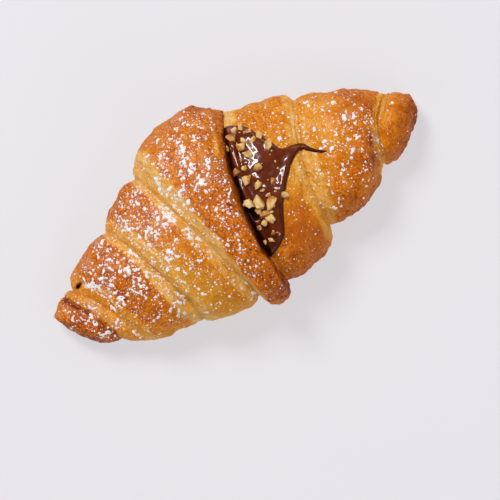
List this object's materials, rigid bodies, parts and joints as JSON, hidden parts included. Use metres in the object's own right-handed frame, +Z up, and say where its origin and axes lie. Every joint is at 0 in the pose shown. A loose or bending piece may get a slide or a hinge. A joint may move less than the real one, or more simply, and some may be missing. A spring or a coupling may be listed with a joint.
{
  "type": "chocolate hazelnut croissant",
  "caption": "Rolled croissant with overlapping laminated turns, split on top beside its widest turn and filled there with hazelnut spread and chopped nuts.",
  "frame": {"origin": "middle of the plan at the level of the flat underside that it rests on", "axes": "+X along the roll from the pointed end to the blunt end, +Y across it towards the side where the widest turn bulges most, +Z up"},
  "size_m": [0.1719, 0.0884, 0.0507],
  "materials": {
    "crust": "golden-brown flaky crust with a soft sheen, dusted with powdered sugar",
    "chocolate": "glossy hazelnut spread with chopped hazelnuts"
  },
  "bodies": {
    "root": {"croissant": "crust", "chocolate": "chocolate"}
  },
  "joints": []
}
